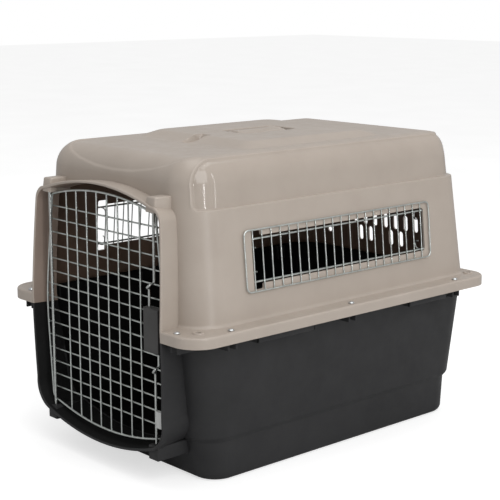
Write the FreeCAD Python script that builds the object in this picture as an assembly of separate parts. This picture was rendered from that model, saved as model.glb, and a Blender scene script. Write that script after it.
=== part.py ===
import FreeCAD, Part
import math
import os

# Pet transport carrier: two moulded half shells bolted at a flange, a wire door that
# swings on a hinge rod, two sprung latch rods, wire window grilles and a pull-up handle.
# Everything is built about the flange's top face (z = 0 there, +Z up, door towards -Y)
# and lifted by FLANGE_HEIGHT when written, so the finished part stands on z = 0.
V = FreeCAD.Vector

# Driving dimensions, mm
FLANGE_HEIGHT = 266.0
HALF_WIDTH = 260.0
HALF_LENGTH = 357.0
WALL = 3.5
FLANGE_THICK = 3.5
LIP_DEPTH = 18.0
LIP_RADIUS_FRONT = 46.0
LIP_RADIUS_BACK = 40.0

# Upper shell walls at the flange, and how far each leans in per mm of height
BODY_HALF_X = 222.0
BODY_FRONT = -317.0
BODY_BACK = 346.0
LEAN_SIDE = 0.098
LEAN_FRONT = 0.025
LEAN_BACK = 0.077
CORNER_FRONT = 58.0
CORNER_BACK = 46.0
ROOF_Z = 262.0
SHOULDER = 42.0
PANEL_Z = 181.0
PANEL_INSET = 5.0
PANEL_FRONT = -285.0

# Lower shell: draft down to the step, then the narrower base
STEP_TOP = -190.0
STEP_BOTTOM = -198.0
BASE_RADIUS = 11.0

# Door surround (hood) and door plane
HOOD_WALL = 4.5
HOOD_BACK = -268.0
HOOD_TAPER_X = 16.6
HOOD_TAPER_Z = 5.9
RIM_LEAN_UP = 0.05
RIM_LEAN_DOWN = 0.02
DOOR_Y = -334.0
ROD_Y = -338.5
ROD_X = 143.0

# Wires
FRAME_R = 2.0
WIRE_R = 1.4
ROD_R = 2.5
LATCH_R = 2.2
RUNNING_FIT = 0.08
ROW_PITCH = 23.0
ROW_COUNT = 15
ROW_TOP = 155.5
COLUMN_PITCH = 28.8
COLUMN_COUNT = 8

# Latch housing
LATCH_X = (122.5, 159.5)
LATCH_Z = (-44.0, 28.0)
LATCH_FRONT = -346.0
LATCH_SHEET = 1.0
UPPER_INNER_X = 130.0
LOWER_INNER_X = 152.0
ROW_FRONT = DOOR_Y + FRAME_R
CLIP_X = (147.5, 160.5)
CLIP_Z = (-166.0, -139.0)

# Side windows, on the leaning wall
WINDOW_Y = (-194.0, 220.0)
WINDOW_Z = (56.0, 133.0)
GRILLE_Y = (-213.0, 230.0)
GRILLE_Z = (45.0, 144.0)
BAR_COUNT = 21
BAR_R = 1.1
RAIL_R = 1.7
GRILLE_R = 1.4
RAIL_Z = (60.0, 129.0)

# Fasteners and tie-down holes
SIDE_BOLT_X = 245.0
SIDE_BOLT_Y = (-269.0, 0.0, 271.0)
FRONT_BOLT = (203.0, -343.0)
BOLT_R = 2.5
BOLT_HOLE_R = 3.2
BOLT_HEAD_R = 5.5
WASHER_THICK = 1.0
TIE_X = 225.0
TIE_Y = (-318.0, 334.0)
TIE_R = 4.5

# Carry handle
HANDLE_Y = (-40.0, 56.0)
HANDLE_LIFT = 19.5
PLATFORM_Z = 272.0


def box(x0, x1, y0, y1, z0, z1):
    return Part.makeBox(x1 - x0, y1 - y0, z1 - z0, V(x0, y0, z0))


def cylinder(radius, x, y, z0, z1):
    return Part.makeCylinder(radius, z1 - z0, V(x, y, z0))


def mirrored(shape):
    return shape.mirror(V(0, 0, 0), V(1, 0, 0))


def fuse_all(shapes):
    fused = shapes[0].multiFuse(shapes[1:])
    return fused.removeSplitter()


def write(name, shape):
    lifted = shape.copy()
    lifted.translate(V(0, 0, FLANGE_HEIGHT))
    lifted.exportStep("parts/" + name + ".step")
    solids = len(lifted.Solids)
    print(f"{name:26s} solids {solids:3d} valid {lifted.isValid()} volume {lifted.Volume / 1000:9.2f} cm3")


def rounded_ring(z, half_x, y_front, y_back, r_front, r_back):
    """Closed wire at height z: a rectangle with its own corner radius front and back."""
    k_front = r_front * (1 - math.sqrt(0.5))
    k_back = r_back * (1 - math.sqrt(0.5))
    right = [
        Part.Arc(V(half_x - r_front, y_front, z), V(half_x - k_front, y_front + k_front, z),
                 V(half_x, y_front + r_front, z)).toShape(),
        Part.LineSegment(V(half_x, y_front + r_front, z), V(half_x, y_back - r_back, z)).toShape(),
        Part.Arc(V(half_x, y_back - r_back, z), V(half_x - k_back, y_back - k_back, z),
                 V(half_x - r_back, y_back, z)).toShape(),
    ]
    back = Part.LineSegment(V(half_x - r_back, y_back, z), V(r_back - half_x, y_back, z)).toShape()
    left = [
        Part.Arc(V(r_back - half_x, y_back, z), V(k_back - half_x, y_back - k_back, z),
                 V(-half_x, y_back - r_back, z)).toShape(),
        Part.LineSegment(V(-half_x, y_back - r_back, z), V(-half_x, y_front + r_front, z)).toShape(),
        Part.Arc(V(-half_x, y_front + r_front, z), V(k_front - half_x, y_front + k_front, z),
                 V(r_front - half_x, y_front, z)).toShape(),
    ]
    front = Part.LineSegment(V(r_front - half_x, y_front, z), V(half_x - r_front, y_front, z)).toShape()
    return Part.Wire(right + [back] + left + [front])


def loft(rings):
    return Part.makeLoft(rings, True, True)


def edges_at(shape, z):
    return [e for e in shape.Edges if all(abs(v.Z - z) < 0.01 for v in e.Vertexes)]


def upper_block(inset, z0, z_top, shoulder):
    """Outer or inner form of the upper shell, shrunk by inset all round."""
    rings = []
    for z in (z0, z_top):
        rings.append(rounded_ring(z, BODY_HALF_X - LEAN_SIDE * z - inset,
                                  BODY_FRONT + LEAN_FRONT * z + inset,
                                  BODY_BACK - LEAN_BACK * z - inset,
                                  CORNER_FRONT - inset, CORNER_BACK - inset))
    block = loft(rings)
    return block.makeFillet(shoulder, edges_at(block, z_top))


def lower_block(inset, z_top, z_floor):
    """Outer or inner form of the lower shell: drafted wall, step, narrower base."""
    levels = (
        (z_top, 222.0, -317.0, 346.0, CORNER_FRONT),
        (STEP_TOP, 207.5, -293.0, 331.0, 52.0),
        (STEP_BOTTOM, 204.0, -287.0, 323.5, 50.0),
        (z_floor, 202.0, -272.0, 320.5, 42.0),
    )
    rings = [rounded_ring(z, x - inset, front + inset, back - inset, corner - inset, CORNER_BACK - inset)
             for z, x, front, back, corner in levels]
    block = loft(rings)
    return block.makeFillet(BASE_RADIUS - inset, edges_at(block, z_floor))


def flange_slab(inset, z0, z1):
    ring = rounded_ring(z0, HALF_WIDTH - inset, inset - HALF_LENGTH, HALF_LENGTH - inset,
                        LIP_RADIUS_FRONT - inset, LIP_RADIUS_BACK - inset)
    return Part.Face(ring).extrude(V(0, 0, z1 - z0))


def hood_ring(y, dx, dz):
    """Barrel-arch outline of the door surround in the plane y, drawn in by dx and dz."""
    apex = V(0, y, 213 - dz)
    shoulder = V(148 - dx, y, 190.5 - dz)
    shoulder_mid = V(166.3 - dx, y, 183.3 - dz)
    cheek = V(173.5 - dx, y, 166 - dz)
    waist = V(181 - dx, y, 0)
    hip = V(178 - dx, y, dz - 152)
    hip_mid = V(169 - dx, y, dz - 189)
    heel = V(146 - dx, y, dz - 204)
    toe = V(0, y, dz - 227)

    def flip(p):
        return V(-p.x, p.y, p.z)

    arcs = [
        Part.Arc(flip(shoulder), apex, shoulder),
        Part.Arc(shoulder, shoulder_mid, cheek),
        Part.Arc(cheek, waist, hip),
        Part.Arc(hip, hip_mid, heel),
        Part.Arc(heel, toe, flip(heel)),
        Part.Arc(flip(heel), flip(hip_mid), flip(hip)),
        Part.Arc(flip(hip), flip(waist), flip(cheek)),
        Part.Arc(flip(cheek), flip(shoulder_mid), flip(shoulder)),
    ]
    return Part.Wire([a.toShape() for a in arcs])


def hood_solid():
    return loft([hood_ring(-HALF_LENGTH, 0, 0), hood_ring(HOOD_BACK, HOOD_TAPER_X, HOOD_TAPER_Z)])


def hood_void():
    reach = 3.0
    return loft([hood_ring(-HALF_LENGTH - reach, HOOD_WALL, HOOD_WALL),
                 hood_ring(HOOD_BACK - 1, HOOD_TAPER_X + HOOD_WALL, HOOD_TAPER_Z + HOOD_WALL),
                 hood_ring(HOOD_BACK + 8, HOOD_TAPER_X + HOOD_WALL, HOOD_TAPER_Z + HOOD_WALL)])


def rim_trim(lean, z_far):
    """Wedge in front of the rim, so that the rim leans back away from the flange."""
    a = V(-300, -HALF_LENGTH, 0)
    b = V(-300, -HALF_LENGTH + lean * abs(z_far), z_far)
    c = V(-300, -HALF_LENGTH - 60, z_far)
    d = V(-300, -HALF_LENGTH - 60, 0)
    return Part.Face(Part.makePolygon([a, b, c, d, a])).extrude(V(600, 0, 0))


def sides(make, *args):
    """The same feature on the right and on the left."""
    right = make(*args)
    return [right, mirrored(right)]


def wall_place(shape):
    """Moves a shape drawn with x as height off the wall and z as height up the wall
    onto the leaning right-hand wall."""
    slope = math.degrees(math.atan(LEAN_SIDE))
    placed = shape.copy()
    placed.rotate(V(0, 0, 0), V(0, 1, 0), -slope)
    placed.translate(V(BODY_HALF_X, 0, 0))
    return placed


def bolt_places():
    places = [(SIDE_BOLT_X, y) for y in SIDE_BOLT_Y] + [FRONT_BOLT]
    return places + [(-x, y) for x, y in places]


def slot_prism(x, y0, y1, z, half_width, half_height):
    """Round-ended upright slot cut along Y."""
    straight = half_height - half_width
    parts = [box(x - half_width, x + half_width, y0, y1, z - straight, z + straight)]
    for end in (z - straight, z + straight):
        parts.append(Part.makeCylinder(half_width, y1 - y0, V(x, y0, end), V(0, 1, 0)))
    return fuse_all(parts)


def round_path(points, radii, closed=False):
    """Straight runs joined by tangent arcs, one radius per corner."""
    count = len(points)
    corners = range(count) if closed else range(1, count - 1)
    entry = {}
    leave = {}
    middle = {}
    for i in corners:
        here = points[i]
        to_prev = (points[i - 1] - here).normalize()
        to_next = (points[(i + 1) % count] - here).normalize()
        half = to_prev.getAngle(to_next) / 2
        radius = radii[i]
        run = radius / math.tan(half)
        bisector = (to_prev + to_next).normalize()
        entry[i] = here + to_prev * run
        leave[i] = here + to_next * run
        middle[i] = here + bisector * (radius / math.sin(half) - radius)
    edges = []
    for i in range(count):
        if i in middle:
            edges.append(Part.Arc(entry[i], middle[i], leave[i]).toShape())
        if i + 1 < count or closed:
            start = leave.get(i, points[i])
            end = entry.get((i + 1) % count, points[(i + 1) % count])
            if (end - start).Length > 0.01:
                edges.append(Part.LineSegment(start, end).toShape())
    return edges


def bent_wire(edges, radius):
    """Round wire of the given radius along a list of joined edges."""
    first = edges[0]
    start = first.valueAt(first.FirstParameter)
    heading = first.tangentAt(first.FirstParameter)
    ring = Part.Wire(Part.makeCircle(radius, start, heading))
    return Part.Wire(edges).makePipeShell([ring], True, False)


def closed_wire(points, radii, radius):
    """Closed loop of round wire, swept in two halves that meet face to face."""
    edges = round_path(points, radii, closed=True)
    half = len(edges) // 2
    return fuse_all([bent_wire(edges[:half], radius), bent_wire(edges[half:], radius)])


def straight_wire(a, b, radius):
    return Part.makeCylinder(radius, (b - a).Length, a, b - a)


# ---------------------------------------------------------------- upper shell
def platform():
    low = rounded_ring(ROOF_Z - 1.5, 150, -153, 183, 26, 26)
    high = rounded_ring(PLATFORM_Z, 125, -122, 152, 20, 20)
    body = loft([low, high])
    return body.makeFillet(3.0, edges_at(body, PLATFORM_Z))


def handle_well():
    return box(-40, 40, HANDLE_Y[0] - 26, HANDLE_Y[1] + 26, ROOF_Z - 10, ROOF_Z)


def handle_cuts():
    ring = rounded_ring(ROOF_Z - 6.5, 34, HANDLE_Y[0] - 20, HANDLE_Y[1] + 20, 14, 14)
    recess = Part.Face(ring).extrude(V(0, 0, 30))
    slots = [box(-9, 9, y - 3.5, y + 3.5, ROOF_Z - 12, ROOF_Z) for y in HANDLE_Y]
    return [recess] + slots


def rod_boss(z0, z1):
    """Block over or under the surround that holds the end of a rod."""
    block = box(131, 155, -346, -303, z0, z1)
    return block.makeFillet(2.0, [e for e in block.Edges if abs(e.tangentAt(0).z) > 0.9])


def keeper(radius, x, z0, z1):
    return Part.makeCylinder(radius, z1 - z0, V(x, ROD_Y, z0))


def side_panel():
    """Skin taken off the side and back walls above the panel line."""
    outer = upper_block(-1.0, PANEL_Z, ROOF_Z + 1, SHOULDER)
    inner = upper_block(PANEL_INSET, PANEL_Z - 5, ROOF_Z - 3.4, SHOULDER - 3.0)
    window = box(-HALF_WIDTH, HALF_WIDTH, PANEL_FRONT, HALF_LENGTH, PANEL_Z, ROOF_Z - 5)
    return outer.cut(inner).common(window)


def window_cut():
    opening = box(BODY_HALF_X - 60, HALF_WIDTH, WINDOW_Y[0], WINDOW_Y[1], WINDOW_Z[0], WINDOW_Z[1])
    notch_low = box(BODY_HALF_X - 60, HALF_WIDTH, WINDOW_Y[0], WINDOW_Y[0] + 20, GRILLE_Z[0] + 3, WINDOW_Z[0])
    notch_high = box(BODY_HALF_X - 60, HALF_WIDTH, WINDOW_Y[0], WINDOW_Y[0] + 20, WINDOW_Z[1], GRILLE_Z[1] - 3)
    return fuse_all([opening, notch_low, notch_high])


def vent_cuts():
    cuts = []
    for x in (14, 40, 66, 92):
        cuts.append(slot_prism(x, 300, 360, 71, 5.5, 15))
        cuts.append(slot_prism(-x, 300, 360, 71, 5.5, 15))
    for x in (-27, 27, 53, -53):
        cuts.append(slot_prism(x, 300, 360, 38, 5.5, 15))
    for x in (-141, 141):
        cuts.append(Part.makeCylinder(6, 60, V(x, 300, 33), V(0, 1, 0)))
    return cuts


def top_shell():
    lip = flange_slab(0, -LIP_DEPTH, 0)
    lip = lip.makeFillet(3.0, edges_at(lip, 0))
    upper_half = box(-300, 300, -400, 400, -LIP_DEPTH, 300)
    hood = hood_solid().common(upper_half)
    body = upper_block(0, -1, ROOF_Z, SHOULDER)
    outside = fuse_all([lip, body, hood, platform()] + sides(rod_boss, 180, 204.5))
    outside = outside.cut(side_panel())
    lip_void = flange_slab(WALL, -LIP_DEPTH - 1, -FLANGE_THICK)
    hood_keep = hood_solid().cut(hood_void()).common(box(-300, 300, -400, BODY_FRONT, -LIP_DEPTH, 0))
    cavity = upper_block(WALL + PANEL_INSET, -FLANGE_THICK - 1, ROOF_Z - WALL, SHOULDER - WALL)
    lower_cavity = upper_block(WALL, -FLANGE_THICK - 1, PANEL_Z - 4, 1.0)
    shell = outside.cut(lip_void).fuse(hood_keep)
    shell = shell.cut(fuse_all([cavity, lower_cavity])).fuse(handle_well())
    shell = shell.cut(Part.makeCompound([hood_void(), rim_trim(RIM_LEAN_UP, 240)]))
    cuts = handle_cuts() + sides(window_cut) + vent_cuts()
    cuts.append(keeper(ROD_R + RUNNING_FIT, -ROD_X, 150, 200))
    cuts.append(keeper(LATCH_R + RUNNING_FIT, ROD_X, 150, 200))
    for x, y in bolt_places():
        cuts.append(cylinder(BOLT_HOLE_R, x, y, -20, 5))
    for x in (-TIE_X, TIE_X):
        for y in TIE_Y:
            shell = shell.fuse(cylinder(TIE_R + 4.5, x, y, -FLANGE_THICK, 1.2))
            cuts.append(cylinder(TIE_R, x, y, -20, 5))
    for cut in cuts:
        shell = shell.cut(cut)
    return shell.removeSplitter()


# ---------------------------------------------------------------- lower shell
def bolt_ribs(x, y):
    """Two ribs under the flange, one each side of a bolt."""
    offset = 10.0
    rib = 3.0
    ribs = []
    for side in (-offset, offset):
        if abs(x) > 230:
            ribs.append(box(214, 249, y + side - rib / 2, y + side + rib / 2, -36, -5))
        else:
            ribs.append(box(x + side - rib / 2, x + side + rib / 2, -349, -308, -36, -5))
    return ribs


def lifting_grip(y0, y1):
    """Downturned grip under the flange, open below for the fingers."""
    return box(212, 250, y0, y1, -30, -5).cut(box(210, 246.5, y0 + 3, y1 - 3, -31, -8))


def bottom_shell():
    slab = flange_slab(WALL + 2.0, -FLANGE_THICK * 2, -FLANGE_THICK)
    hood = hood_solid().common(box(-300, 300, -400, 400, -240, -LIP_DEPTH))
    clear_hood = box(-182.5, 182.5, -400, BODY_FRONT + 0.5, -10, 0)
    body = lower_block(0, -FLANGE_THICK, -FLANGE_HEIGHT)
    ribs = []
    for x, y in [(SIDE_BOLT_X, y) for y in SIDE_BOLT_Y] + [FRONT_BOLT]:
        ribs += bolt_ribs(x, y)
    ribs += [lifting_grip(-217, -90), lifting_grip(142, 245)]
    ribs += [mirrored(r) for r in ribs]
    bosses = sides(rod_boss, -221, -197)
    outside = fuse_all([slab.cut(clear_hood), body, hood] + ribs + bosses)
    cavity = lower_block(WALL, -FLANGE_THICK + 1, WALL - FLANGE_HEIGHT)
    shell = outside.cut(cavity)
    neck = box(-182.5, 182.5, -400, BODY_FRONT + 0.5, -LIP_DEPTH, 1)
    shell = shell.cut(Part.makeCompound([hood_void(), rim_trim(RIM_LEAN_DOWN, -240)])).cut(neck)
    cuts = [keeper(ROD_R + RUNNING_FIT, -ROD_X, -216, -150),
            keeper(LATCH_R + RUNNING_FIT, ROD_X, -216, -150)]
    for x, y in bolt_places():
        cuts.append(cylinder(BOLT_HOLE_R, x, y, -20, 5))
    for x in (-TIE_X, TIE_X):
        for y in TIE_Y:
            cuts.append(cylinder(TIE_R, x, y, -20, 5))
    for cut in cuts:
        shell = shell.cut(cut)
    return shell.removeSplitter()


# ---------------------------------------------------------------- door
def door_loop():
    """Corners of the barrel-shaped door frame, each with the radius of its bend."""
    side = [(142.5, 176.5, 9), (167.5, -8, 420), (154.5, -185.5, 11)]
    loop = [(0, 209.5, 560)] + side + [(0, -223.5, 520)]
    loop += [(-x, z, radius) for x, z, radius in reversed(side)]
    points = [V(x, DOOR_Y, z) for x, z, _ in loop]
    radii = [radius for _, _, radius in loop]
    return points, radii


def door_edge(frame_line, z):
    """Half width of the frame's centre line at height z."""
    probe = Part.makeLine(V(60, DOOR_Y, z), V(HALF_WIDTH, DOOR_Y, z))
    return frame_line.distToShape(probe)[1][0][0].x


def door_reach(frame_line, x):
    """Lowest and highest point of the frame's centre line at x."""
    ends = []
    for z0, z1 in ((-HALF_WIDTH, -60), (60, HALF_WIDTH)):
        probe = Part.makeLine(V(x, DOOR_Y, z0), V(x, DOOR_Y, z1))
        ends.append(frame_line.distToShape(probe)[1][0][0].z)
    return ends


def door_parts():
    points, radii = door_loop()
    frame_line = Part.Wire(round_path(points, radii, closed=True))
    frame = closed_wire(points, radii, FRAME_R)
    column_y = DOOR_Y + 0.5
    columns = []
    for i in range(COLUMN_COUNT):
        x = (i - (COLUMN_COUNT - 1) / 2) * COLUMN_PITCH
        low, high = door_reach(frame_line, x)
        column = straight_wire(V(x, column_y, low), V(x, column_y, high), WIRE_R)
        columns.append(column.cut(frame))
    row_y = DOOR_Y + FRAME_R + WIRE_R
    rows = []
    for i in range(ROW_COUNT):
        z = ROW_TOP - i * ROW_PITCH
        half = door_edge(frame_line, z) + 1.0
        rows.append(straight_wire(V(-half, row_y, z), V(half, row_y, z), WIRE_R))
    return frame, columns, rows


def hinge_rod():
    return straight_wire(V(-ROD_X, ROD_Y, -214), V(-ROD_X, ROD_Y, 198), ROD_R)


def latch_rod(tip, bend, inner_x, inner_end, grip_x):
    """Rod from the keeper end, through a finger loop bent forward, to the spring end."""
    step = math.copysign(5.0, tip - bend)
    points = [
        V(ROD_X, ROD_Y, tip),
        V(ROD_X, ROD_Y, bend + step),
        V(grip_x, ROD_Y - 19, bend),
        V(inner_x, ROD_Y, bend - step),
        V(inner_x, ROD_Y, inner_end),
    ]
    rod = bent_wire(round_path(points, [0, 5.0, 4.2, 5.0, 0]), LATCH_R)
    collar = cylinder(3.6, inner_x, ROD_Y, min(inner_end, inner_end + step / 2.5),
                      max(inner_end, inner_end + step / 2.5))
    return rod.fuse(collar)


def spring(x, z0, z1):
    """Compression spring behind the cover; it pushes a latch rod outwards."""
    coil_r = 2.7
    wire_r = 0.45
    turns = 9
    height = z1 - z0 - 2 * wire_r
    path = Part.makeHelix(height / turns, height, coil_r)
    path.translate(V(x, ROD_Y, z0 + wire_r))
    start = path.Edges[0]
    ring = Part.Wire(Part.makeCircle(wire_r, start.valueAt(start.FirstParameter),
                                     start.tangentAt(start.FirstParameter)))
    return path.makePipeShell([ring], True, True)


def latch_cover():
    """Moulded cover over the springs, open at the back and closed by the base plate."""
    x0, x1 = LATCH_X
    z0, z1 = LATCH_Z
    skin = 1.8
    back = ROW_FRONT - LATCH_SHEET
    body = box(x0, x1, LATCH_FRONT, back, z0, z1)
    front = [e for e in body.Edges if all(abs(v.Y - LATCH_FRONT) < 0.01 for v in e.Vertexes)]
    body = body.makeFillet(1.2, front)
    body = body.cut(box(x0 + skin, x1 - skin, LATCH_FRONT + skin, back + 1, z0 + skin, z1 - skin))
    body = body.cut(cylinder(LATCH_R + RUNNING_FIT, UPPER_INNER_X, ROD_Y, z1 - 5, z1 + 5))
    return body.cut(cylinder(LATCH_R + RUNNING_FIT, LOWER_INNER_X, ROD_Y, z0 - 5, z0 + 5))


def latch_base():
    """Sheet plate that closes the cover's back and is welded to the rows of door wire."""
    return box(LATCH_X[0], LATCH_X[1], ROW_FRONT - LATCH_SHEET, ROW_FRONT, LATCH_Z[0], LATCH_Z[1])


def edge_clip():
    """Light clip on the closing edge of the door frame, beside the lower latch rod."""
    clip = box(CLIP_X[0], CLIP_X[1], ROD_Y - 4.5, DOOR_Y - FRAME_R, CLIP_Z[0], CLIP_Z[1])
    return clip.makeFillet(1.0, [e for e in clip.Edges if abs(e.tangentAt(0).z) > 0.9])


# ---------------------------------------------------------------- side windows
def grille():
    """Right-hand window grille, drawn flat and then laid on the leaning wall."""
    frame_x = 2 * BAR_R + 0.3 + GRILLE_R
    bar_x = BAR_R + 0.3
    rail_x = 0.3 - RAIL_R
    y0, y1 = GRILLE_Y
    z0, z1 = GRILLE_Z
    loop = [V(frame_x, y0, z0), V(frame_x, y1, z0), V(frame_x, y1, z1), V(frame_x, y0, z1)]
    frame = closed_wire(loop, [9, 9, 9, 9], GRILLE_R)
    pitch = (y1 - y0) / (BAR_COUNT + 1)
    bars = [straight_wire(V(bar_x, y0 + i * pitch, z0), V(bar_x, y0 + i * pitch, z1), BAR_R)
            for i in range(1, BAR_COUNT + 1)]
    rails = [straight_wire(V(rail_x, WINDOW_Y[0] + 2, z), V(rail_x, WINDOW_Y[1] - 2, z), RAIL_R)
             for z in RAIL_Z]
    hooks = []
    for y, run in ((WINDOW_Y[0] + 6, 1), (WINDOW_Y[1] - 6, -1)):
        for z, up in ((RAIL_Z[0], 1), (RAIL_Z[1], -1)):
            start = V(rail_x - RAIL_R, y, z)
            path = [start, start + V(-11, 0, 0), start + V(-11, 0, up * 15), start + V(-2, 0, up * 15)]
            path = [p + V(0, run * 2 * i, 0) for i, p in enumerate(path)]
            hooks.append(bent_wire(round_path(path, [0, 6, 6, 0]), BAR_R))
    return [wall_place(Part.makeCompound(group)) for group in ([frame], bars, rails, hooks)]


# ---------------------------------------------------------------- fasteners
def bolt(x, y):
    shank = cylinder(BOLT_R, x, y, -19, 0.5)
    head = Part.makeSphere(7.5, V(x, y, -4.6)).common(cylinder(BOLT_HEAD_R, x, y, 0, 3.2))
    return shank.fuse(head).removeSplitter()


def washer(x, y):
    top = -2 * FLANGE_THICK
    ring = cylinder(BOLT_HEAD_R, x, y, top - WASHER_THICK, top)
    return ring.cut(cylinder(BOLT_HOLE_R, x, y, -30, 10))


def wing_nut(x, y):
    top = -2 * FLANGE_THICK - WASHER_THICK
    body = cylinder(4.6, x, y, top - 5.5, top)
    heading = 90 if abs(x) < 230 else 0
    wings = []
    for turn in (heading, heading + 180):
        wing = box(3.5, 10.5, -1.0, 1.0, -11.5, -2.0)
        wing.rotate(V(0, 0, 0), V(0, 0, 1), turn)
        wing.translate(V(x, y, top))
        wings.append(wing)
    return fuse_all([body] + wings).cut(cylinder(BOLT_R + RUNNING_FIT, x, y, -40, 10))


# ---------------------------------------------------------------- carry handle
def carry_handle():
    y0, y1 = HANDLE_Y
    grip_top = PLATFORM_Z + 1.5
    grip_low = ROOF_Z - 0.5
    leg = 2.5
    grip = box(-11, 11, y0 - leg - 3, y1 + leg + 3, grip_low, grip_top)
    grip = grip.makeFillet(4.5, grip.Edges)
    legs = [box(-8, 8, y - leg, y + leg, ROOF_Z - 34, grip_low + 3) for y in HANDLE_Y]
    head_top = ROOF_Z - 10 - HANDLE_LIFT - 0.5
    heads = [box(-8, 8, y - leg - 4, y + leg + 4, head_top - 4, head_top) for y in HANDLE_Y]
    return fuse_all([grip] + legs + heads)


def write_all():
    write("top_shell", top_shell())
    write("bottom_shell", bottom_shell())
    frame, columns, rows = door_parts()
    write("door_frame_wire", frame)
    write("door_vertical_wires", Part.makeCompound(columns))
    write("door_horizontal_wires", Part.makeCompound(rows))
    write("door_hinge_rod", hinge_rod())
    write("latch_rod_upper", latch_rod(183.8, 64, UPPER_INNER_X, 0, ROD_X + 3))
    write("latch_rod_lower", latch_rod(-195.0, -71, LOWER_INNER_X, -20, ROD_X + 12.5))
    write("latch_spring_upper", spring(UPPER_INNER_X, LATCH_Z[0] + 2.2, -0.4))
    write("latch_spring_lower", spring(LOWER_INNER_X, -19.6, LATCH_Z[1] - 2.2))
    write("latch_cover", latch_cover())
    write("latch_base_plate", latch_base())
    write("door_edge_clip", edge_clip())
    for name, right in zip(("window_frame", "window_bars", "window_rails", "window_hooks"), grille()):
        write(name + "_right", right)
        write(name + "_left", mirrored(right))
    places = bolt_places()
    write("flange_bolts", Part.makeCompound([bolt(x, y) for x, y in places]))
    write("bolt_washers", Part.makeCompound([washer(x, y) for x, y in places]))
    write("wing_nuts", Part.makeCompound([wing_nut(x, y) for x, y in places]))
    write("carry_handle", carry_handle())


if __name__ == "__main__":
    os.makedirs("parts", exist_ok=True)
    write_all()
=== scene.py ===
import bpy
import bmesh
import math
import numpy as np
from mathutils import Matrix, Vector


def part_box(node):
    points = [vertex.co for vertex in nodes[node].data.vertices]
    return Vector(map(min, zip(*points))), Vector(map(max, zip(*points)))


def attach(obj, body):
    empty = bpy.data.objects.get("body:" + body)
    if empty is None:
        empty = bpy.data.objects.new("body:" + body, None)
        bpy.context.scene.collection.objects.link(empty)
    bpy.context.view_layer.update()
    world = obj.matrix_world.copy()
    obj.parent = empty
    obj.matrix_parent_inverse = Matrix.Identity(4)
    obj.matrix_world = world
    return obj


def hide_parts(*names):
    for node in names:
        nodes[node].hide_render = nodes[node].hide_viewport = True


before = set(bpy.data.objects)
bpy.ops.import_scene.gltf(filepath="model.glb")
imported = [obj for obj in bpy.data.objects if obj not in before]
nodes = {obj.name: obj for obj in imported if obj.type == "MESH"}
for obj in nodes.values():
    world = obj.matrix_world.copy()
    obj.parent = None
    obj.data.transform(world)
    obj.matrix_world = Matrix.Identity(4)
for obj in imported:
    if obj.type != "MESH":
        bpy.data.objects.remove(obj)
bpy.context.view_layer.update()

MM = 0.001
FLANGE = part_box("top_shell")[0].z + 0.018      # top face of the upper flange above the floor
WALL = 0.0035
SOLVER = "MANIFOLD"


# ---------------------------------------------------------------- materials
def shader(name):
    mat = bpy.data.materials.new(name)
    mat.use_nodes = True
    tree = mat.node_tree
    return mat, tree, tree.nodes["Principled BSDF"]


def link(tree, a, out, b, into):
    tree.links.new(a.outputs[out], b.inputs[into])


def coordinates(tree):
    return tree.nodes.new("ShaderNodeTexCoord")


def noise(tree, scale, detail=4.0, rough=0.5, stretch=None):
    node = tree.nodes.new("ShaderNodeTexNoise")
    node.inputs["Scale"].default_value = scale
    node.inputs["Detail"].default_value = detail
    node.inputs["Roughness"].default_value = rough
    if stretch:
        mapping = tree.nodes.new("ShaderNodeMapping")
        mapping.inputs["Scale"].default_value = stretch
        link(tree, coordinates(tree), "Object", mapping, "Vector")
        link(tree, mapping, "Vector", node, "Vector")
    else:
        link(tree, coordinates(tree), "Object", node, "Vector")
    return node


def ramp(tree, source, stops, out="Fac"):
    node = tree.nodes.new("ShaderNodeValToRGB")
    elements = node.color_ramp.elements
    while len(elements) < len(stops):
        elements.new(0.5)
    for element, (at, colour) in zip(elements, stops):
        element.position = at
        element.color = (*colour, 1.0) if len(colour) == 3 else colour
    link(tree, source, out, node, "Fac")
    return node


def spread(tree, source, low, high, out="Fac"):
    node = tree.nodes.new("ShaderNodeMapRange")
    node.inputs["From Min"].default_value = 0.3
    node.inputs["From Max"].default_value = 0.7
    node.inputs["To Min"].default_value = low
    node.inputs["To Max"].default_value = high
    link(tree, source, out, node, "Value")
    return node


def bump(tree, source, strength, distance, out="Fac", normal=None):
    node = tree.nodes.new("ShaderNodeBump")
    node.inputs["Strength"].default_value = strength
    node.inputs["Distance"].default_value = distance
    link(tree, source, out, node, "Height")
    if normal:
        link(tree, normal, "Normal", node, "Normal")
    return node


def plastic(name, dark, mid, light, rough, grain, specular=0.5):
    """Moulded plastic: faint flow mottling, fine grain, uneven gloss."""
    mat, tree, bsdf = shader(name)
    mottle = noise(tree, 14.0, 5.0, 0.55)
    colour = ramp(tree, mottle, [(0.25, dark), (0.5, mid), (0.78, light)])
    link(tree, colour, "Color", bsdf, "Base Color")
    patches = noise(tree, 38.0, 3.0, 0.6)
    gloss = spread(tree, patches, rough[0], rough[1])
    link(tree, gloss, "Result", bsdf, "Roughness")
    fine = noise(tree, 1900.0, 2.0, 0.5)
    waves = noise(tree, 24.0, 2.0, 0.4)
    soft = bump(tree, waves, 0.12, 0.0006)
    skin = bump(tree, fine, grain, 0.00012, normal=soft)
    link(tree, skin, "Normal", bsdf, "Normal")
    bsdf.inputs["Specular IOR Level"].default_value = specular
    return mat


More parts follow.
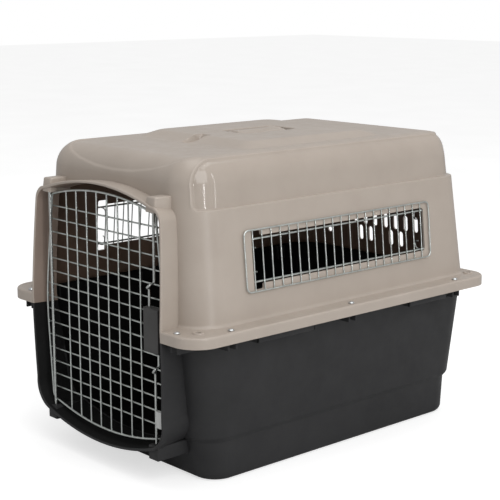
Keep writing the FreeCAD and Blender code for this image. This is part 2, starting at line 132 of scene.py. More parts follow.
def metal(name, dark, light, rough, stretch=(1, 1, 1)):
    """Bright zinc plating: cloudy grey, fine drawing marks."""
    mat, tree, bsdf = shader(name)
    cloud = noise(tree, 120.0, 4.0, 0.6)
    colour = ramp(tree, cloud, [(0.3, dark), (0.7, light)])
    link(tree, colour, "Color", bsdf, "Base Color")
    marks = noise(tree, 700.0, 3.0, 0.6, stretch)
    gloss = spread(tree, marks, rough[0], rough[1])
    link(tree, gloss, "Result", bsdf, "Roughness")
    skin = bump(tree, marks, 0.25, 0.0001)
    link(tree, skin, "Normal", bsdf, "Normal")
    bsdf.inputs["Metallic"].default_value = 1.0
    return mat


TAUPE = plastic("taupe_moulded", (0.385, 0.330, 0.284), (0.405, 0.350, 0.302), (0.425, 0.368, 0.320),
                (0.30, 0.42), 0.22)
# painted shade: a darker copy of the taupe plastic for the shell's inside faces, standing in for the shade
# inside the shell
TAUPE_INSIDE_PAINTED_SHADE = plastic("taupe_inside_painted_shade", (0.165, 0.106, 0.074), (0.188, 0.124, 0.089), (0.212, 0.143, 0.105),
                       (0.50, 0.62), 0.3, 0.3)
TAUPE_POLISHED = plastic("taupe_polished", (0.375, 0.322, 0.277), (0.395, 0.341, 0.294),
                         (0.415, 0.359, 0.312), (0.09, 0.13), 0.03)
# painted shade: a darker copy of the taupe plastic for the door jamb's inner faces, standing in for the
# shade in the doorway
TAUPE_JAMB_PAINTED_SHADE = plastic("taupe_jamb_painted_shade", (0.235, 0.178, 0.145), (0.255, 0.194, 0.158), (0.280, 0.215, 0.176),
                     (0.42, 0.55), 0.25, 0.35)
TUB = plastic("tub_black", (0.021, 0.021, 0.022), (0.025, 0.025, 0.026), (0.030, 0.030, 0.031),
              (0.44, 0.58), 0.45, 0.26)
# painted shade: a darker copy of the black tub plastic for the tub's inside faces and the lower jamb,
# standing in for their shade
TUB_PAINTED_SHADE = plastic("tub_painted_shade", (0.008, 0.008, 0.008), (0.010, 0.010, 0.010), (0.013, 0.013, 0.013),
                     (0.70, 0.85), 0.4, 0.12)
LATCH = plastic("latch_dark", (0.030, 0.030, 0.029), (0.040, 0.039, 0.038), (0.052, 0.050, 0.049),
                (0.38, 0.50), 0.4, 0.45)
CLIP = plastic("clip_grey", (0.50, 0.51, 0.50), (0.56, 0.57, 0.56), (0.62, 0.63, 0.62), (0.35, 0.45), 0.3)
WIRE = metal("wire_zinc", (0.48, 0.51, 0.49), (0.65, 0.68, 0.66), (0.26, 0.42))
ROD = metal("rod_zinc", (0.44, 0.46, 0.45), (0.60, 0.62, 0.60), (0.22, 0.36))
FASTENER = metal("fastener_zinc", (0.52, 0.54, 0.55), (0.72, 0.74, 0.75), (0.24, 0.38))
SPRING = metal("spring_wire", (0.34, 0.34, 0.34), (0.48, 0.48, 0.48), (0.28, 0.40))


# ---------------------------------------------------------------- mesh tools
def smooth(t):
    t = np.clip(t, 0.0, 1.0)
    return t * t * (3 - 2 * t)


def make_object(name, mesh, body, mats):
    obj = bpy.data.objects.new(name, mesh)
    bpy.context.scene.collection.objects.link(obj)
    for m in mats:
        mesh.materials.append(m)
    if body:
        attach(obj, body)
    return obj


def mesh_from(name, points, faces):
    mesh = bpy.data.meshes.new(name)
    mesh.from_pydata([tuple(p) for p in points], [], faces)
    mesh.update()
    return mesh


def baked(obj, name):
    """The object's mesh with its modifiers applied; the object is dropped."""
    deps = bpy.context.evaluated_depsgraph_get()
    mesh = bpy.data.meshes.new_from_object(obj.evaluated_get(deps))
    mesh.name = name
    old = obj.data
    bpy.data.objects.remove(obj)
    bpy.data.meshes.remove(old)
    return mesh


def shade(mesh, angle=32.0):
    """Smooth shading with creases kept sharp."""
    bm = bmesh.new()
    bm.from_mesh(mesh)
    limit = math.radians(angle)
    for edge in bm.edges:
        edge.smooth = not (len(edge.link_faces) == 2 and edge.calc_face_angle(0.0) > limit)
    for face in bm.faces:
        face.smooth = True
    bm.to_mesh(mesh)
    bm.free()


def grid_faces(rows, columns, closed_rows=False, closed_columns=True):
    """Quads of a grid whose point (r, c) has index r * columns + c."""
    faces = []
    for r in range(rows if closed_rows else rows - 1):
        r2 = (r + 1) % rows
        for c in range(columns if closed_columns else columns - 1):
            c2 = (c + 1) % columns
            faces.append((r * columns + c, r * columns + c2, r2 * columns + c2, r2 * columns + c))
    return faces


def grid_normals(points):
    """Unit normals of a grid of rings, closed along the second axis."""
    along = np.roll(points, -1, axis=1) - np.roll(points, 1, axis=1)
    up = np.gradient(points, axis=0)
    n = np.cross(along, up)
    return n / np.maximum(np.linalg.norm(n, axis=2, keepdims=True), 1e-12)


# ---------------------------------------------------------------- outlines, in mm about the flange top
SEGMENTS = (70, 56, 100, 26, 44)               # half front, front corner, side, back corner, half back
RIGHT = sum(SEGMENTS)
AROUND = 2 * RIGHT


def ring(half_x, y_front, y_back, r_front, r_back):
    """Rounded rectangle from the middle of the front, to the right, round the back and home."""
    nf, ncf, ns, ncb, nb = SEGMENTS
    xs, ys = [], []
    t = np.arange(nf) / nf
    xs.append(t * (half_x - r_front))
    ys.append(np.full(nf, y_front))
    a = np.arange(ncf) / ncf * math.pi / 2
    xs.append(half_x - r_front + r_front * np.sin(a))
    ys.append(y_front + r_front - r_front * np.cos(a))
    t = np.arange(ns) / ns
    xs.append(np.full(ns, half_x))
    ys.append(y_front + r_front + t * (y_back - r_back - y_front - r_front))
    a = np.arange(ncb) / ncb * math.pi / 2
    xs.append(half_x - r_back + r_back * np.cos(a))
    ys.append(y_back - r_back + r_back * np.sin(a))
    t = np.arange(nb) / nb
    xs.append((1 - t) * (half_x - r_back))
    ys.append(np.full(nb, y_back))
    x, y = np.concatenate(xs), np.concatenate(ys)
    x = np.concatenate([x, [0.0], -x[:0:-1]])
    y = np.concatenate([y, [y_back], y[:0:-1]])
    return x, y


def at(z, outline):
    x, y = outline
    return np.stack([x, y, np.full_like(x, z)], axis=1)


def between(a, b, count):
    """Rings part of the way from a to b, without a, with b."""
    return [a + (b - a) * (i / count) for i in range(1, count + 1)]


FLANGE_X, FLANGE_Y = 260.0, 357.0
LIP = 18.0
KNEE_Z, SHOULDER_R = 220.0, 42.0               # where the shoulder starts, and its radius
ROOF_Z, DECK_Z, WELL_Z = 262.0, 272.0, 258.0   # roof, raised deck, foot of the handle well's wall
ROD_X, ROD_Y = 143.0, -338.5                   # hinge rod on the left, latch rods on the right
TIE_DOWN_X, TIE_DOWN_Y = (-225, 225), (-318, 334)
HANDLE_LEGS_Y = (-40, 56)


def flange_ring(inset, z):
    return at(z, ring(FLANGE_X - inset, inset - FLANGE_Y, FLANGE_Y - inset, 46 - inset, 40 - inset))


def upper_wall(z, inset=0.0):
    """Outline of the upper shell's wall at height z, shoulder included."""
    drawn = 0.0
    rise = z
    if z > KNEE_Z:
        a = math.asin(min((z - KNEE_Z) / SHOULDER_R, 1.0))
        drawn = SHOULDER_R * (1 - math.cos(a))
        rise = KNEE_Z + SHOULDER_R * math.sin(a) * (1 - a / (math.pi / 2))
    side, front, back = 222 - 0.098 * rise, -317 + 0.025 * rise, 346 - 0.077 * rise
    inward = inset + drawn
    return at(z, ring(side - inward, front + inward, back - inward, 58 - inward, 46 - inward))


def lower_wall(z):
    """Half width, front, back and front corner radius of the lower shell at height z."""
    levels = [(-266.0, 202.0, -272.0, 320.5, 42.0), (-198.0, 204.0, -287.0, 323.5, 50.0),
              (-190.0, 207.5, -293.0, 331.0, 52.0), (-3.5, 222.0, -317.0, 346.0, 58.0)]
    zs = [q[0] for q in levels]
    return [float(np.interp(z, zs, [q[k] for q in levels])) for k in (1, 2, 3, 4)]


def lower_ring(z, inset=0.0):
    """Wall outline at height z, with the step's edges eased."""
    ease = 1.2
    samples = [lower_wall(z + d) for d in (-ease, 0.0, ease)]
    side, front, back, corner = (sum(s[k] for s in samples) / 3 for k in range(4))
    return at(z, ring(side - inset, front + inset, back - inset, corner - inset, 46 - inset))


def arc3(a, m, b, count):
    """Points of the arc from a through m to b in the (x, z) plane."""
    (ax, az), (mx, mz), (bx, bz) = a, m, b
    d = 2 * (ax * (mz - bz) + mx * (bz - az) + bx * (az - mz))
    qa, qm, qb = ax * ax + az * az, mx * mx + mz * mz, bx * bx + bz * bz
    cx = (qa * (mz - bz) + qm * (bz - az) + qb * (az - mz)) / d
    cz = (qa * (bx - mx) + qm * (ax - bx) + qb * (mx - ax)) / d
    r = math.hypot(ax - cx, az - cz)
    t0, t1, t2 = (math.atan2(q[1] - cz, q[0] - cx) for q in (a, m, b))
    turn = (t2 - t0) % (2 * math.pi)
    if (t1 - t0) % (2 * math.pi) > turn:
        turn -= 2 * math.pi
    t = t0 + turn * np.linspace(0, 1, count)
    return np.stack([cx + r * np.cos(t), cz + r * np.sin(t)], axis=1)


def surround_half(dx, dz):
    """Right half of the door surround's outline, from its top to its foot."""
    shoulder = (148 - dx, 190.5 - dz)
    cheek = (173.5 - dx, 166 - dz)
    hip = (178 - dx, dz - 152)
    heel = (146 - dx, dz - 204)
    crown = arc3((-shoulder[0], shoulder[1]), (0, 213 - dz), shoulder, 161)[80:]
    foot = arc3(heel, (0, dz - 227), (-heel[0], heel[1]), 161)[:81]
    parts = [
        crown,
        arc3(shoulder, (166.3 - dx, 183.3 - dz), cheek, 24)[1:],
        arc3(cheek, (181 - dx, 0), hip, 160)[1:],
        arc3(hip, (169 - dx, dz - 189), heel, 32)[1:],
        foot[1:],
    ]
    return np.concatenate(parts)


def resample(points, count):
    step = np.linalg.norm(np.diff(points, axis=0), axis=1)
    s = np.concatenate([[0], np.cumsum(step)])
    want = np.linspace(0, s[-1], count)
    return np.stack([np.interp(want, s, points[:, k]) for k in range(points.shape[1])], axis=1)


def split_at(points, z):
    """Parts of a falling line above and below height z, both ending exactly there."""
    i = int(np.argmax(points[:, 1] < z))
    p, q = points[i - 1], points[i]
    cut = p + (q - p) * (p[1] - z) / (p[1] - q[1])
    return np.vstack([points[:i], cut]), np.vstack([cut, points[i:]])


def surround_line(y, inset, part, count):
    """One line of the surround in the plane y: 'top', 'bottom' or 'all'."""
    taper = (y + FLANGE_Y) / 75.0
    half = surround_half(14 * taper + inset, 5 * taper + inset)
    upper, lower = split_at(half, -LIP)
    if part == "top":
        run = resample(upper, count)
        line = np.vstack([run[::-1], run[1:] * (-1, 1)])
    elif part == "bottom":
        run = resample(lower, count)
        line = np.vstack([run, run[-2::-1] * (-1, 1)])
    else:
        run = resample(half, count)
        line = np.vstack([run, run[-2:0:-1] * (-1, 1)])
    return line


# ---------------------------------------------------------------- solids used as cutters
def prism(points_a, points_b):
    """Closed solid between two matching outlines."""
    n = len(points_a)
    faces = grid_faces(2, n)
    faces.append(tuple(range(n - 1, -1, -1)))
    faces.append(tuple(range(n, 2 * n)))
    return np.vstack([points_a, points_b]), faces


def rounded_polygon(corners, radii, steps=6):
    """Flat outline with rounded corners, in two dimensions."""
    out = []
    count = len(corners)
    for i, here in enumerate(corners):
        here = np.array(here, float)
        to_prev = np.array(corners[i - 1], float) - here
        to_next = np.array(corners[(i + 1) % count], float) - here
        to_prev /= np.linalg.norm(to_prev)
        to_next /= np.linalg.norm(to_next)
        half = math.acos(float(np.clip(to_prev @ to_next, -1, 1))) / 2
        r = radii[i]
        centre = here + (to_prev + to_next) / np.linalg.norm(to_prev + to_next) * r / math.sin(half)
        start = here + to_prev * r / math.tan(half) - centre
        end = here + to_next * r / math.tan(half) - centre
        a0 = math.atan2(start[1], start[0])
        turn = (math.atan2(end[1], end[0]) - a0 + math.pi) % (2 * math.pi) - math.pi
        for k in range(steps + 1):
            a = a0 + turn * k / steps
            out.append(centre + r * np.array([math.cos(a), math.sin(a)]))
    return np.array(out)


def cutter(parts):
    """One mesh of separate closed solids."""
    points, faces, base = [], [], 0
    for p, f in parts:
        points.append(p)
        faces += [tuple(i + base for i in face) for face in f]
        base += len(p)
    mesh = mesh_from("cutter", np.vstack(points) * MM + (0, 0, FLANGE), faces)
    bm = bmesh.new()
    bm.from_mesh(mesh)
    bmesh.ops.recalc_face_normals(bm, faces=bm.faces)
    bm.to_mesh(mesh)
    bm.free()
    return make_object("cutter", mesh, None, [])


def door_way_cut(inset):
    lines = []
    for y in (-372.0, -266.0):
        line = surround_line(y, inset, "all", 150)
        lines.append(np.stack([line[:, 0], np.full(len(line), y), line[:, 1]], axis=1))
    return prism(lines[0], lines[1])


def window_cut(side):
    outline = rounded_polygon([(-194, 47), (-174, 47), (-174, 56), (220, 56), (220, 133),
                               (-174, 133), (-174, 141), (-194, 141)],
                              [3, 3, 3, 6, 6, 3, 3, 3])
    a = np.stack([np.full(len(outline), 150.0 * side), outline[:, 0], outline[:, 1]], axis=1)
    b = a.copy()
    b[:, 0] = 262.0 * side
    return prism(a, b)


def vent_cut(x, z, half_width, half_height):
    t = np.linspace(0, math.pi, 13)
    top = np.stack([half_width * np.cos(t), half_height - half_width + half_width * np.sin(t)], axis=1)
    outline = np.vstack([top, -top])
    a = np.stack([x + outline[:, 0], np.full(len(outline), 296.0), z + outline[:, 1]], axis=1)
    b = a.copy()
    b[:, 1] = 366.0
    return prism(a, b)


def round_cut(x, y, z0, z1, radius, count=24):
    t = np.arange(count) / count * 2 * math.pi
    a = np.stack([x + radius * np.cos(t), y + radius * np.sin(t), np.full(count, z0)], axis=1)
    b = a.copy()
    b[:, 2] = z1
    return prism(a, b)


def block_cut(x0, x1, y0, y1, z0, z1):
    a = np.array([(x0, y0, z0), (x1, y0, z0), (x1, y1, z0), (x0, y1, z0)], float)
    b = a.copy()
    b[:, 2] = z1
    return prism(a, b)


def shell_from(name, grid, cuts, body, mats, polished=None):
    """Grid of rings made into a wall with an inner skin, cut, shaded and finished."""
    rows, columns = grid.shape[:2]
    downward = grid[-1, 0, 2] < grid[0, 0, 2]
    outward = -grid_normals(grid) if downward else grid_normals(grid)
    skin = grid - outward * WALL / MM
    skin[-1] = skin[-1].mean(axis=0) * (0, 0, 1) + grid[-1] * (1, 1, 0)
    count = rows * columns
    outside = grid_faces(rows, columns)
    last = (rows - 1) * columns
    outside.append(tuple(last + c for c in range(columns)))
    inside = [tuple(i + count for i in reversed(f)) for f in outside]
    edge = [((c + 1) % columns, c, c + count, (c + 1) % columns + count) for c in range(columns)]
    points = np.vstack([grid.reshape(-1, 3), skin.reshape(-1, 3)])
    faces = outside + inside + edge
    if downward:
        faces = [tuple(reversed(f)) for f in faces]
    mesh = mesh_from(name, points * MM + (0, 0, FLANGE), faces)
    hollow = make_object(name, mesh, None, mats)
    index = np.zeros(len(mesh.polygons), dtype=np.int32)
    # faces of the inner skin take the second material, a darker copy of the outer one: painted shade
    index[len(outside):len(outside) + len(inside)] = 1
    if polished is not None:
        index[:(rows - 1) * columns] = np.where(polished[:-1], 2, 0).reshape(-1)
    mesh.polygons.foreach_set("material_index", index)
    tool = cutter(cuts)
    hole = hollow.modifiers.new("openings", "BOOLEAN")
    hole.operation = "DIFFERENCE"
    hole.solver = SOLVER
    hole.object = tool
    mesh = baked(hollow, name)
    bpy.data.objects.remove(tool)
    shade(mesh)
    obj = make_object(name, mesh, body, [])
    return obj


# ---------------------------------------------------------------- upper shell
PANEL_LOW, PANEL_HIGH = 181.5, 258.0


def upper_profile():
    """Rings from the lip's lower edge over the flange, wall, shoulder, roof and handle recess."""
    rings = [flange_ring(0, -LIP), flange_ring(0, -14), flange_ring(0, -9), flange_ring(0, -5)]
    edge = 3.6
    for k in range(1, 8):
        a = k / 7 * math.pi / 2
        rings.append(flange_ring(edge * (1 - math.cos(a)), -edge + edge * math.sin(a)))
    root = 4.5
    start = upper_wall(0.0, -root)
    start[:, 2] = 0.0
    rings += between(rings[-1], start, 12)
    for k in range(1, 7):
        a = k / 6 * math.pi / 2
        rings.append(upper_wall(root * (1 - math.cos(a)), -root * (1 - math.sin(a))))
    for heights in (np.arange(10, 176, 5.5), np.arange(176, 190, 1.0), np.arange(190.5, 220, 3.0)):
        rings += [upper_wall(z) for z in heights]
    for k in range(1, 37):
        a = k / 36 * math.pi / 2
        rings.append(upper_wall(KNEE_Z + SHOULDER_R * math.sin(a)))
    roof = rings[-1]
    foot = at(ROOF_Z, ring(150, -153, 183, 26, 26))
    crest = at(DECK_Z, ring(125, -122, 152, 20, 20))
    rings += between(roof, foot, 16)
    rings += platform_slope(foot, crest)
    rings += between(rings[-1], at(DECK_Z, ring(36.5, -52.5, 78.5, 16, 16)), 10)
    fillet = 2.5
    for k in range(1, 5):
        a = k / 4 * math.pi / 2
        d = fillet * math.sin(a)
        rings.append(at(DECK_Z - fillet * (1 - math.cos(a)), ring(36.5 - d, -52.5 + d, 78.5 - d, 14, 14)))
    rings += between(rings[-1], at(WELL_Z, ring(33.5, -49.5, 75.5, 13.5, 13.5)), 4)
    for k in range(1, 5):
        a = k / 4 * math.pi / 2
        d = fillet * (1 - math.cos(a))
        rings.append(at(WELL_Z - fillet * math.sin(a), ring(33.5 - d, -49.5 + d, 75.5 - d, 12, 12)))
    rings += between(rings[-1], at(WELL_Z - fillet, ring(8, -30, 46, 4, 4)), 3)
    return rings


def platform_slope(foot, crest):
    """Raised deck: eased foot, straight slope, eased edge."""
    rings = []
    ease = 0.17
    low, high = ease / 4, 1.0 - ease / 4
    for t in (0.03, 0.08, 0.14, 0.2, 0.35, 0.5, 0.65, 0.8, 0.86, 0.92, 0.97, 1.0):
        ringlet = foot + (crest - foot) * t
        rise = t + (max(ease - t, 0.0) ** 2 - max(t - 1.0 + ease, 0.0) ** 2) / (4 * ease)
        ringlet[:, 2] = ROOF_Z + (DECK_Z - ROOF_Z) * (rise - low) / (high - low)
        rings.append(ringlet)
    return rings


def panel_distance(path, climb, top_climb):
    """How far a point lies inside the recessed panel: path back from its front border,
    climb above the step and top_climb below its upper border."""
    def corner(a, b, r):
        inside = (a < r) & (b < r)
        return np.where(inside, r - np.hypot(r - a, r - b), np.minimum(a, b))
    return np.minimum(corner(path, climb, 9.0), corner(path, top_climb, 46.0))


def upper_shell():
    grid = np.stack(upper_profile())
    normal = grid_normals(grid)
    x, y, z = grid[..., 0], grid[..., 1], grid[..., 2]
    # arc length round the ring at the step, from the panel's front border on either side
    row = int(np.argmin(np.abs(z[:, 0] - PANEL_LOW) + (y[:, 0] > -300) * 1e3))
    line = grid[row]
    step = np.linalg.norm(np.roll(line, -1, axis=0) - line, axis=1)
    run = np.concatenate([[0], np.cumsum(step)[:-1]])
    total = step.sum()
    run = np.minimum(run, total - run)
    corner_start = SEGMENTS[0]
    border = run[corner_start] + 0.49 * (run[corner_start + SEGMENTS[1]] - run[corner_start])
    path = np.broadcast_to(run - border, x.shape)
    # arc length up the profile
    up = np.linalg.norm(np.diff(grid[:, RIGHT // 2], axis=0), axis=1)
    climb_line = np.concatenate([[0], np.cumsum(up)])
    zero = climb_line[row]
    top_row = row + int(np.argmax(z[row:, 0] > PANEL_HIGH))
    climb = np.broadcast_to((climb_line - zero)[:, None], x.shape)
    top_climb = climb_line[top_row] - zero - climb
    inside = panel_distance(path, climb, top_climb)
    depth = 5.0 + 3.5 * smooth((y - 250) / 60)
    depth = depth - (depth - 2.4) * smooth(1.0 - top_climb / 42.0)
    move = -depth * smooth(inside / 3.4)
    bead = np.exp(-((inside + 2.2) / 1.7) ** 2) * smooth((climb - 2) / 8) * 0.9
    move = move + bead
    # shallow crescent pressed into the front edge of the roof
    reach = np.abs(x)
    curve = np.interp(reach, [0, 50, 100, 130, 150, 158, 170],
                      [230, 232.5, 241, 251, 265, 290, 420]) + zero - 182.0 - 0.5
    crescent = smooth((climb + zero - curve) / 5.0) * smooth((-222 - y) / 40)
    crescent *= (y < -200) & (z > 200)
    move = move - 1.7 * crescent
    grid = grid + normal * move[..., None]
    # scoop behind the deck's front edge
    x, y, z = grid[..., 0], grid[..., 1], grid[..., 2]
    flat = (z > 260)
    scoop = smooth((14 - np.abs(x)) / 2.5) * smooth((-112 - y) / 3) * flat
    bottom = 259.5 + 0.05 * (y + 150)
    grid[..., 2] -= np.maximum(z - bottom, 0) * scoop * smooth((y + 156) / 6)
    # flange top set down between a raised border and the wall
    flange = (z > -0.3) & (z < 0.6) & (np.abs(grid[..., 2]) < 0.8)
    edge = np.minimum(FLANGE_X - np.abs(x), FLANGE_Y - np.abs(y))
    grid[..., 2] -= np.where(flange, 0.9 * smooth((edge - 8) / 3.0), 0.0)
    cuts = [door_way_cut(2.2), window_cut(1), window_cut(-1)]
    for sx in (14, 40, 66, 92):
        cuts += [vent_cut(sx, 71, 5.5, 15), vent_cut(-sx, 71, 5.5, 15)]
    for sx in (-53, -27, 27, 53):
        cuts.append(vent_cut(sx, 38, 5.5, 15))
    for sx in (-141, 141):
        cuts.append(vent_cut(sx, 33, 6.0, 6.01))
    cuts += [round_cut(sx, sy, -20, 6, 4.5) for sx in TIE_DOWN_X for sy in TIE_DOWN_Y]
    cuts += [block_cut(-9, 9, sy - 3.5, sy + 3.5, 246, 262) for sy in HANDLE_LEGS_Y]
    return shell_from("upper_shell", grid, cuts, "shell", [TAUPE, TAUPE_INSIDE_PAINTED_SHADE, TAUPE_POLISHED],
                      inside > 1.5)


def drilled(obj, name):
    """The object's mesh with the bores of the hinge and latch rods cut in it."""
    tool = cutter([round_cut(x, ROD_Y, z0, z1, radius) for x, radius in ((-ROD_X, 3.1), (ROD_X, 2.8))
                   for z0, z1 in ((150, 200), (-216, -150))])
    bores = obj.modifiers.new("bores", "BOOLEAN")
    bores.operation = "DIFFERENCE"
    bores.solver = SOLVER
    bores.object = tool
    mesh = baked(obj, name)
    bpy.data.objects.remove(tool)
    return mesh


def surround(name, part, mats):
    """Door surround: a drafted wall with a rounded, leaning rim."""
    wall, lip = 4.5, 2.25
    back_y = -313.5
    section = [(y, 0.0) for y in (back_y, -322, -330, -338, -345, -350)]
    for k in range(9):
        a = k / 8 * math.pi
        section.append((-FLANGE_Y + lip - lip * math.sin(a), lip - lip * math.cos(a)))
    section += [(y, wall) for y in (-350, -345, -338, -330, -322, back_y)]
    count = 150 if part == "top" else 110
    lean = 0.05 if part == "top" else 0.02
    rows = []
    for y, inset in section:
        line = surround_line(y, inset, part, count)
        depth = (y + FLANGE_Y) / (back_y + FLANGE_Y)
        zz = line[:, 1]
        wall_front = np.array([lower_wall(q)[1] for q in zz])
        settle = np.where(zz > 0, 0.025 * zz, wall_front + 317.0)
        yy = y + lean * np.abs(zz) * (1 - depth) + settle * depth
        rows.append(np.stack([line[:, 0], yy, zz], axis=1))
    grid = np.stack(rows)
    n_rows, n_columns = grid.shape[:2]
    faces = grid_faces(n_rows, n_columns, closed_rows=True, closed_columns=False)
    faces.append(tuple(r * n_columns for r in range(n_rows)))
    faces.append(tuple(r * n_columns + n_columns - 1 for r in range(n_rows - 1, -1, -1)))
    mesh = mesh_from(name, grid.reshape(-1, 3) * MM + (0, 0, FLANGE), faces)
    bm = bmesh.new()
    bm.from_mesh(mesh)
    bmesh.ops.recalc_face_normals(bm, faces=bm.faces)
    bm.to_mesh(mesh)
    bm.free()
    raw = make_object(name, mesh, None, mats)
    # faces on the jamb's inner side take the second material, a darker copy of the first: painted shade
    inner = np.zeros(len(mesh.polygons), dtype=np.int32)
    first = (section.index((-350, wall)) - 2) * (n_columns - 1)
    inner[first:first + 8 * (n_columns - 1)] = 1
    mesh.polygons.foreach_set("material_index", inner)
    mesh = drilled(raw, name)
    shade(mesh)
    obj = make_object(name, mesh, "shell", [])
    return obj


def soft_blocks(name, blocks, radius, body, mat, segments=3, bores=False):
    """Moulded blocks with rounded edges; each is eight corners in mm."""
    points, faces = [], []
    for corners in blocks:
        base = len(points)
        points += [tuple(c) for c in corners]
        faces += [tuple(base + i for i in f) for f in
                  ((0, 3, 2, 1), (4, 5, 6, 7), (0, 1, 5, 4), (1, 2, 6, 5), (2, 3, 7, 6), (3, 0, 4, 7))]
    mesh = mesh_from(name, np.array(points) * MM + (0, 0, FLANGE), faces)
    bm = bmesh.new()
    bm.from_mesh(mesh)
    bmesh.ops.recalc_face_normals(bm, faces=bm.faces)
    bm.to_mesh(mesh)
    bm.free()
    raw = make_object(name, mesh, None, [mat])
    edge = raw.modifiers.new("edge", "BEVEL")
    edge.width = radius * MM
    edge.segments = segments
    edge.limit_method = "ANGLE"
    mesh = drilled(raw, name) if bores else baked(raw, name)
    shade(mesh, 50)
    obj = make_object(name, mesh, body, [])
    return obj


def block(x0, x1, y0, y1, z0, z1, top_in=(0, 0, 0, 0)):
    """Eight corners of a box; top_in draws the top's x0, x1, y0, y1 sides inward."""
    a, b, c, d = top_in
    return [(x0, y0, z0), (x1, y0, z0), (x1, y1, z0), (x0, y1, z0),
            (x0 + a, y0 + c, z1), (x1 - b, y0 + c, z1), (x1 - b, y1 - d, z1), (x0 + a, y1 - d, z1)]


def mirrored(corners):
    """Mirror image of a block in x = 0, with its corners kept in order."""
    flip = [(-x, y, z) for x, y, z in corners]
    return [flip[1], flip[0], flip[3], flip[2], flip[5], flip[4], flip[7], flip[6]]


def lathe(profile, places, name, mat, body, steps=32):
    """Turned rings with the given (radius, z) profile at each (x, y) place."""
    points, faces = [], []
    n = len(profile)
    for px, py in places:
        base = len(points)
        for k in range(steps):
            a = k / steps * 2 * math.pi
            points += [(px + r * math.cos(a), py + r * math.sin(a), z) for r, z in profile]
        for k in range(steps):
            k2 = (k + 1) % steps
            for i in range(n):
                i2 = (i + 1) % n
                faces.append((base + k * n + i, base + k2 * n + i, base + k2 * n + i2, base + k * n + i2))
    mesh = mesh_from(name, np.array(points) * MM + (0, 0, FLANGE), faces)
    bm = bmesh.new()
    bm.from_mesh(mesh)
    bmesh.ops.recalc_face_normals(bm, faces=bm.faces)
    bm.to_mesh(mesh)
    bm.free()
    shade(mesh, 50)
    obj = make_object(name, mesh, body, [mat])
    return obj


upper = upper_shell()
surround("upper_door_surround", "top", [TAUPE, TAUPE_JAMB_PAINTED_SHADE])
boss = block(131, 155, -346, -303, 180, 204.5, (1, 1, 3, 0))
soft_blocks("upper_rod_bosses", [boss, mirrored(boss)], 2.6, "shell", TAUPE, bores=True)
lathe([(4.5, -2.5), (4.5, 0.8), (5.0, 1.2), (8.2, 1.2), (9.0, 0.7), (9.4, -0.9), (9.4, -2.5)],
      [(x, y) for x in TIE_DOWN_X for y in TIE_DOWN_Y], "tie_down_rings", TAUPE, "shell")
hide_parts("top_shell")


def carry_grip():
    """Broad grip with softly rounded edges and ends, over the handle's bar."""
    rings = []
    turn = np.linspace(0, 2 * math.pi, 40, endpoint=False)
    for t in np.sin(np.linspace(-math.pi / 2, math.pi / 2, 33)):
        end = (1 - abs(t) ** 7) ** (1 / 3)
        half_x, half_z = 24.0 * (0.72 + 0.28 * end), 6.6 * (0.35 + 0.65 * end)
        c, d = np.cos(turn), np.sin(turn)
        x = half_x * np.sign(c) * np.abs(c) ** 0.62
        z = 266.8 + half_z * np.sign(d) * np.abs(d) ** 0.62 - 1.2 * (1 - t * t) * (d > 0) * (1 - (c * c))
        rings.append(np.stack([x, np.full_like(x, 8.0 + 53.5 * t), z], axis=1))
    grid = np.stack(rings)
    rows, columns = grid.shape[:2]
    faces = grid_faces(rows, columns)
    faces.append(tuple(range(columns - 1, -1, -1)))
    faces.append(tuple((rows - 1) * columns + c for c in range(columns)))
    mesh = mesh_from("carry_grip", grid.reshape(-1, 3) * MM + (0, 0, FLANGE), faces)
    bm = bmesh.new()
    bm.from_mesh(mesh)
    bmesh.ops.recalc_face_normals(bm, faces=bm.faces)
    bm.to_mesh(mesh)
    bm.free()
    shade(mesh, 50)
    make_object("carry_grip", mesh, "handle", [TAUPE])


carry_grip()


# ---------------------------------------------------------------- lower shell
def lower_profile():
    """Rings from the flange's edge down the wall, round the base and over the floor."""
    rings = [at(-7.0, ring(254.5, -351.5, 351.5, 40.5, 34.5))]
    root = 4.0
    start = lower_ring(-7.0 - root, -root)
    start[:, 2] = -7.0
    rings += between(rings[-1], start, 8)
    for k in range(1, 6):
        a = k / 5 * math.pi / 2
        rings.append(lower_ring(-7.0 - root * (1 - math.cos(a)) - 0.001, -root * (1 - math.sin(a))))
    for heights in (np.arange(-16, -184, -6.0), np.arange(-185, -204, -1.0), np.arange(-206, -255, -6.0)):
        rings += [lower_ring(z) for z in heights]
    radius = 11.0
    for k in range(0, 11):
        a = k / 10 * math.pi / 2
        rings.append(lower_ring(-255.0 - radius * math.sin(a), radius * (1 - math.cos(a))))
    rings += between(rings[-1], at(-266.0, ring(20, -40, 60, 10, 10)), 12)
    return rings


def lower_shell():
    grid = np.stack(lower_profile())
    cuts = [door_way_cut(2.2)]
    cuts += [round_cut(sx, sy, -12, 0, 4.5) for sx in TIE_DOWN_X for sy in TIE_DOWN_Y]
    return shell_from("lower_shell", grid, cuts, "shell", [TUB, TUB_PAINTED_SHADE])


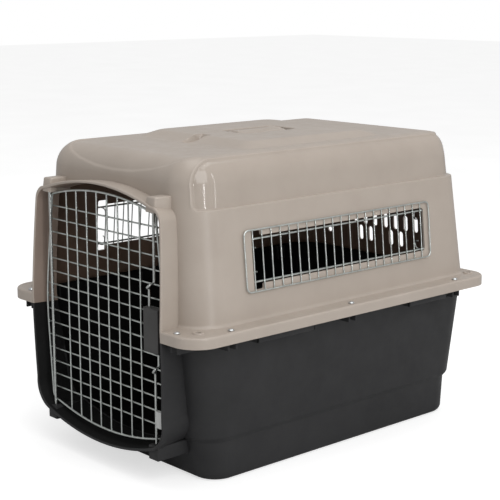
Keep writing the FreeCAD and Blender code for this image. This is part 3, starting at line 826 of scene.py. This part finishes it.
lower = lower_shell()
surround("lower_door_surround", "bottom", [TUB, TUB_PAINTED_SHADE])
SIDE_BOLTS = [(245, -269), (245, 0), (245, 271)]
ribs = []
for bx, by in SIDE_BOLTS:
    for off in (-8, 8):
        ribs.append(block(212, 249, by + off - 1.7, by + off + 1.7, -32, -5))
for off in (-8, 8):
    ribs.append(block(203 + off - 1.7, 203 + off + 1.7, -349, -305, -32, -5))
grips = []
for y0, y1 in ((-217, -90), (142, 245)):
    grips += [block(246.5, 250, y0, y1, -30, -5), block(212, 250, y0, y0 + 3.2, -30, -5),
              block(212, 250, y1 - 3.2, y1, -30, -5)]
pieces = ribs + grips
pieces = pieces + [mirrored(b) for b in pieces]
soft_blocks("lower_shell_ribs", pieces, 0.9, "shell", TUB, 2)
boss = block(131, 155, -346, -282, -221, -197)
soft_blocks("lower_rod_bosses", [boss, mirrored(boss)], 1.5, "shell", TUB, bores=True)
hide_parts("bottom_shell")


# ---------------------------------------------------------------- carried-over CAD nodes
def finish_node(name, mat):
    obj = nodes[name]
    obj.data.materials.clear()
    obj.data.materials.append(mat)


for name in nodes:
    if name.startswith(("door_frame", "door_vertical", "door_horizontal", "window_", "latch_base")):
        finish_node(name, WIRE)
    elif name in ("door_hinge_rod", "latch_rod_upper", "latch_rod_lower"):
        finish_node(name, ROD)
    elif name.startswith("latch_spring"):
        finish_node(name, SPRING)
    elif name == "latch_cover":
        finish_node(name, LATCH)
    elif name == "door_edge_clip":
        finish_node(name, CLIP)
    elif name in ("flange_bolts", "bolt_washers", "wing_nuts"):
        finish_node(name, FASTENER)
    elif name in ("top_shell", "carry_handle"):
        finish_node(name, TAUPE)
    elif name == "bottom_shell":
        finish_node(name, TUB)


# ---------------------------------------------------------------- stage, light and camera
def floor():
    size = 14.0
    mesh = mesh_from("floor", [(-size, -size, 0), (size, -size, 0), (size, size, 0), (-size, size, 0)],
                     [(0, 1, 2, 3)])
    mat, tree, bsdf = shader("floor_pale")
    soft = noise(tree, 3.0, 2.0)
    colour = ramp(tree, soft, [(0.3, (0.60, 0.60, 0.60)), (0.7, (0.64, 0.64, 0.64))])
    link(tree, colour, "Color", bsdf, "Base Color")
    bsdf.inputs["Roughness"].default_value = 0.95
    bsdf.inputs["Specular IOR Level"].default_value = 0.0
    bsdf.inputs["Emission Color"].default_value = (1, 1, 1, 1)
    path = tree.nodes.new("ShaderNodeLightPath")
    lift = tree.nodes.new("ShaderNodeMath")
    lift.operation = "MULTIPLY"
    lift.inputs[1].default_value = 0.62
    link(tree, path, "Is Camera Ray", lift, 0)
    link(tree, lift, "Value", bsdf, "Emission Strength")
    obj = make_object("floor", mesh, None, [mat])


def area(name, place, target, size, power):
    light = bpy.data.lights.new(name, "AREA")
    light.shape = "RECTANGLE"
    light.size, light.size_y = size
    light.energy = power
    obj = bpy.data.objects.new(name, light)
    bpy.context.scene.collection.objects.link(obj)
    obj.location = place
    obj.rotation_mode = "QUATERNION"
    obj.rotation_quaternion = (Vector(target) - Vector(place)).to_track_quat("-Z", "Y")


floor()
area("key", (3.2, -1.0, 2.6), (0, 0, 0.3), (2.6, 2.6), 58)
area("overhead", (0.2, 0.2, 3.2), (0, 0, 0.3), (2.6, 2.6), 33)
area("front_fill", (-0.6, -3.4, 1.6), (0, 0, 0.3), (1.2, 2.0), 4)
area("strip_front", (2.31, -0.66, 0.45), (0, 0, 0.45), (0.05, 0.9), 5.5)
area("strip_back", (2.21, 0.94, 1.15), (0, 0, 1.15), (0.05, 2.0), 4.2)


def studio_world(strength):
    """Even light from all round, with the backdrop itself seen as white."""
    world = bpy.data.worlds.new("studio")
    bpy.context.scene.world = world
    world.use_nodes = True
    tree = world.node_tree
    surround_light = tree.nodes["Background"]
    surround_light.inputs["Color"].default_value = (1, 1, 1, 1)
    surround_light.inputs["Strength"].default_value = strength
    backdrop = tree.nodes.new("ShaderNodeBackground")
    backdrop.inputs["Color"].default_value = (1, 1, 1, 1)
    backdrop.inputs["Strength"].default_value = 1.0
    path = tree.nodes.new("ShaderNodeLightPath")
    pick = tree.nodes.new("ShaderNodeMixShader")
    link(tree, path, "Is Camera Ray", pick, "Fac")
    tree.links.new(surround_light.outputs["Background"], pick.inputs[1])
    tree.links.new(backdrop.outputs["Background"], pick.inputs[2])
    link(tree, pick, "Shader", tree.nodes["World Output"], "Surface")


studio_world(0.5)
bpy.context.scene.view_settings.view_transform = "Standard"

camera = bpy.data.cameras.new("camera")
camera.lens = 95.13
camera.sensor_width = 36.0
camera.clip_end = 100
eye = bpy.data.objects.new("camera", camera)
bpy.context.scene.collection.objects.link(eye)
azimuth, drop, roll = math.radians(47.99), math.radians(11.30), math.radians(-0.07)
back = Vector((math.sin(azimuth) * math.cos(drop), -math.cos(azimuth) * math.cos(drop), math.sin(drop)))
eye.location = (1.7374, -1.5735, 0.7886)
eye.rotation_mode = "QUATERNION"
turn = (-back).to_track_quat("-Z", "Y").to_matrix().to_4x4() @ Matrix.Rotation(roll, 4, "Z")
eye.rotation_quaternion = turn.to_quaternion()
bpy.context.scene.camera = eye
